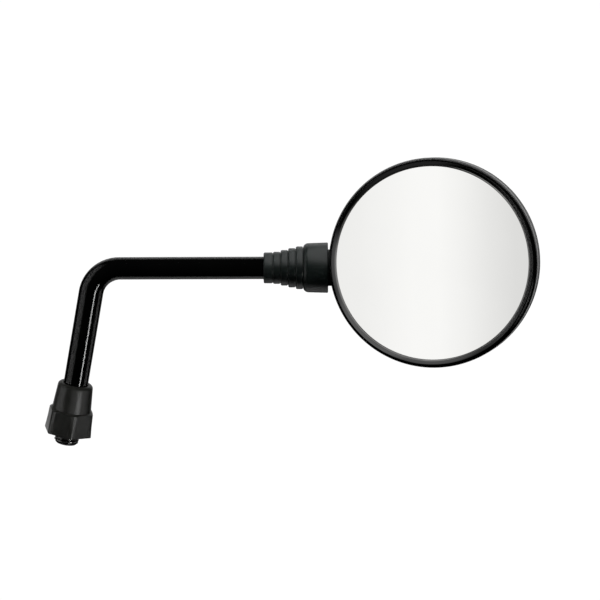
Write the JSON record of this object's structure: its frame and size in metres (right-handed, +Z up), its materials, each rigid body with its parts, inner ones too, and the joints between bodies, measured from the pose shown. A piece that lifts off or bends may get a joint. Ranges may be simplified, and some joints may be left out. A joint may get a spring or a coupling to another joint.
{
  "type": "motorcycle mirror",
  "caption": "Round rear-view mirror on a bent black rod, with a ball joint under a stepped rubber boot, a rubber-capped lock nut and a threaded foot.",
  "frame": {"origin": "on the axis of the threaded foot, in the plane where the lock nut seats", "axes": "+Z up the stem, the arm leaves towards +X, the glass faces -Y and a little up"},
  "size_m": [0.1859, 0.0415, 0.1459],
  "materials": {
    "stem_black": "gloss",
    "nut_steel": "satin",
    "rubber_black": "matte",
    "bezel_black": "gloss",
    "shell_black": "satin",
    "mirror_silver": "polished",
    "seat_white": "satin",
    "spring_steel": "satin",
    "pad_foam": "matte"
  },
  "bodies": {
    "stem": {"stem": "stem_black", "boot": "rubber_black"},
    "lock_nut": {"lock_nut": "nut_steel"},
    "cap": {"base_cap": "rubber_black"},
    "seat_ring": {"ball_seat_ring": "seat_white"},
    "seat_cup": {"ball_seat_cup": "seat_white"},
    "head": {"back_shell": "shell_black", "bezel": "bezel_black", "mirror_glass": "mirror_silver", "glass_pad": "pad_foam", "disc_springs": "spring_steel", "socket_plug": "nut_steel"}
  },
  "joints": [
    {"name": "lock_nut_turn", "type": "hinge", "parent": "stem", "child": "lock_nut", "pos_m": [0, 0, 0], "axis": [0, 0, 1], "continuous": true},
    {"name": "cap_slide", "type": "slide", "parent": "lock_nut", "child": "cap", "axis": [0, 0, 1], "range_m": [0, 0.025]},
    {"name": "head_pan", "type": "hinge", "parent": "stem", "child": "seat_ring", "pos_m": [0.08917, 0, 0.08634], "axis": [-0.1731, 0.2113, 0.962], "range_deg": [-15, 15], "deforming": ["boot"]},
    {"name": "head_raise", "type": "hinge", "parent": "seat_ring", "child": "seat_cup", "pos_m": [0.08917, 0, 0.08634], "axis": [-0.0374, -0.9774, 0.208], "range_deg": [-15, 15], "deforming": ["boot"]},
    {"name": "head_roll", "type": "hinge", "parent": "seat_cup", "child": "head", "pos_m": [0.08917, 0, 0.08634], "axis": [0.9842, 0, 0.1771], "continuous": true}
  ]
}
